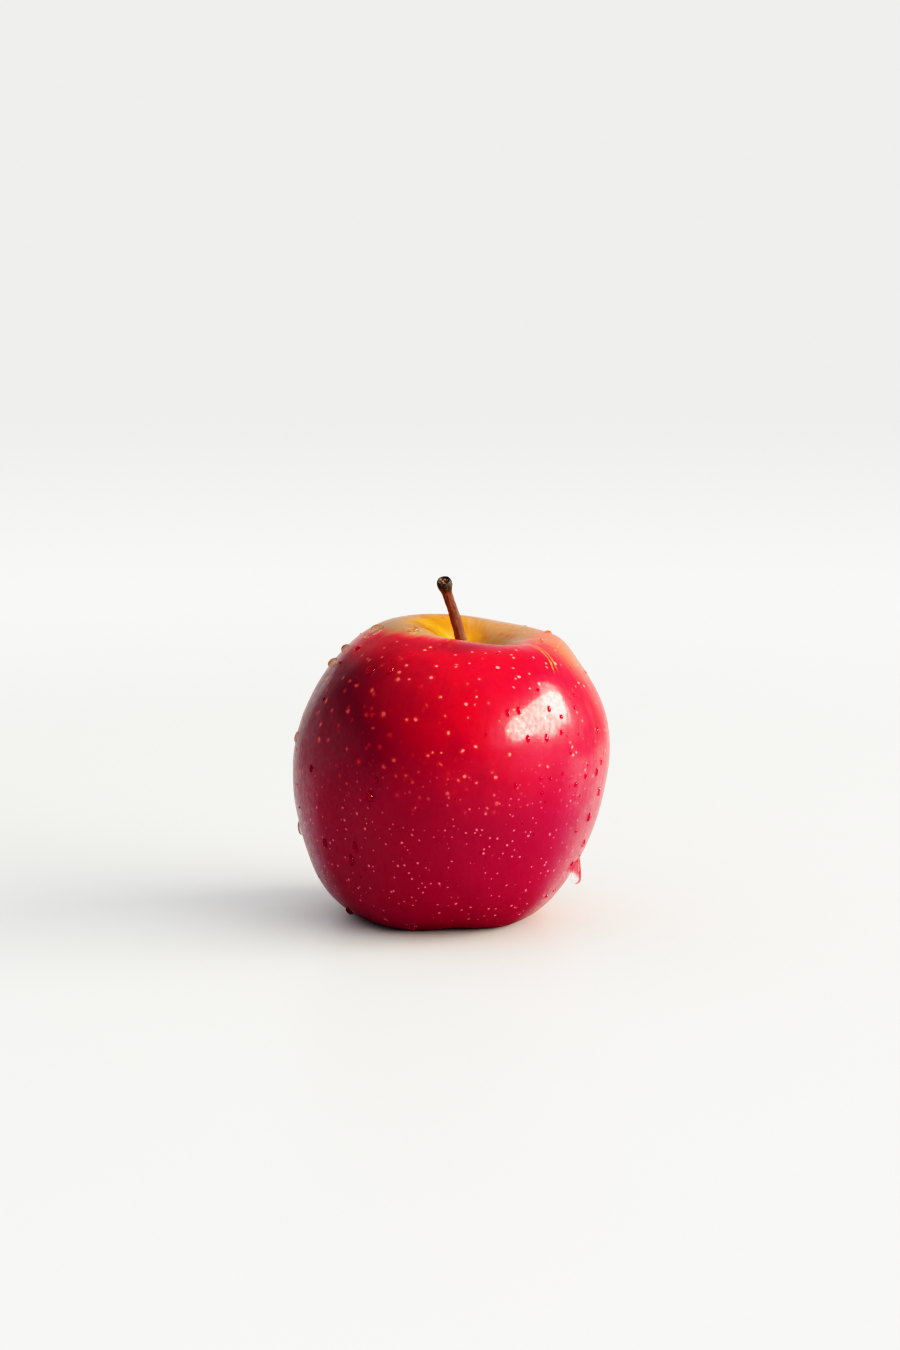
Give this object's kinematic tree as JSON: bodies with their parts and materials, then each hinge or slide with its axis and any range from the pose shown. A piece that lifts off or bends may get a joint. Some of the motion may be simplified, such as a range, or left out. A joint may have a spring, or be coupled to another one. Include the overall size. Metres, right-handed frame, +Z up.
{
  "type": "red apple",
  "caption": "Red dessert apple with a golden stem cavity, a bent woody stem, pale freckles and dried sepals in its base; it stands on its lobed foot.",
  "frame": {"origin": "on the surface that the apple stands on, under the middle of its outline from above", "axes": "+Z up along the core, towards the stem; -Y is the front, towards which the stem's tip leans; +X is the side that the stem cavity is set towards"},
  "size_m": [0.0776, 0.0764, 0.0849],
  "materials": {
    "apple_skin": "gloss",
    "stem_bark": "satin",
    "dried_blossom": "matte",
    "water_drop": "polished"
  },
  "bodies": {
    "root": {"fruit": "apple_skin", "stem": "stem_bark", "sepal_1": "dried_blossom", "sepal_2": "dried_blossom", "sepal_3": "dried_blossom", "sepal_4": "dried_blossom", "sepal_5": "dried_blossom", "stamen_tuft": "dried_blossom"}
  },
  "joints": []
}
